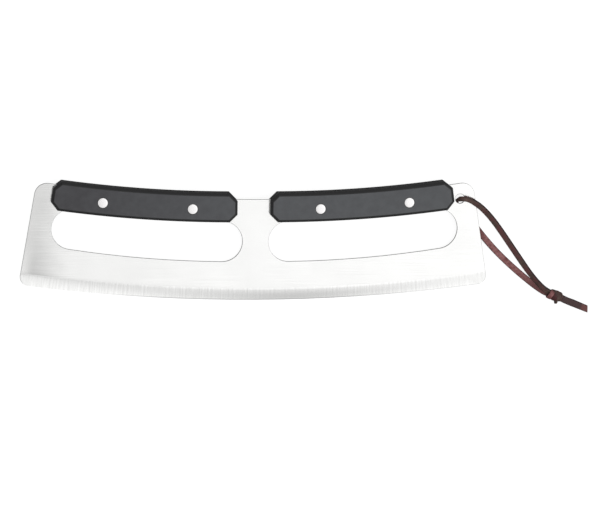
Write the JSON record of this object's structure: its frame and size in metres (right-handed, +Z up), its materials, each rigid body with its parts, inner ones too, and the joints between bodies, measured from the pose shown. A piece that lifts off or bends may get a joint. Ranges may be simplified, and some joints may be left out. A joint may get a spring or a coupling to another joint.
{
  "type": "rocking pizza knife",
  "caption": "Wide rocking pizza knife: a flat steel blade with a convex ground edge, arched hand slots, riveted grip scales on both faces and a knotted leather lanyard at one corner.",
  "frame": {"origin": "on the table, under the middle of the knife's outline without its lanyard", "axes": "+X along the blade, to the right in the picture, +Y from the cutting edge to the handles, +Z up"},
  "size_m": [0.4341, 0.101, 0.0181],
  "materials": {
    "blade_steel": "brushed along the blade",
    "scale_plastic": "matte, fine grain",
    "rivet_steel": "satin, ground flush",
    "lace_leather": "smooth, waxed"
  },
  "bodies": {
    "knife": {"blade": "blade_steel", "left_front_scale": "scale_plastic", "left_back_scale": "scale_plastic", "right_front_scale": "scale_plastic", "right_back_scale": "scale_plastic", "left_outer_rivet_socket": "rivet_steel", "left_inner_rivet_socket": "rivet_steel", "right_inner_rivet_socket": "rivet_steel", "right_outer_rivet_socket": "rivet_steel", "left_outer_rivet_post": "rivet_steel", "left_inner_rivet_post": "rivet_steel", "right_inner_rivet_post": "rivet_steel", "right_outer_rivet_post": "rivet_steel"},
    "lanyard": {"lanyard_front_leg": "lace_leather", "lanyard_back_leg": "lace_leather", "lanyard_tail": "lace_leather", "lanyard_knot": "lace_leather"}
  },
  "joints": [
    {"name": "lanyard_swing", "type": "hinge", "parent": "knife", "child": "lanyard", "pos_m": [0.1556, 0.0313, 0.00925], "axis": [0, -0.1174, 0.9931], "range_deg": [-5, 75]}
  ]
}
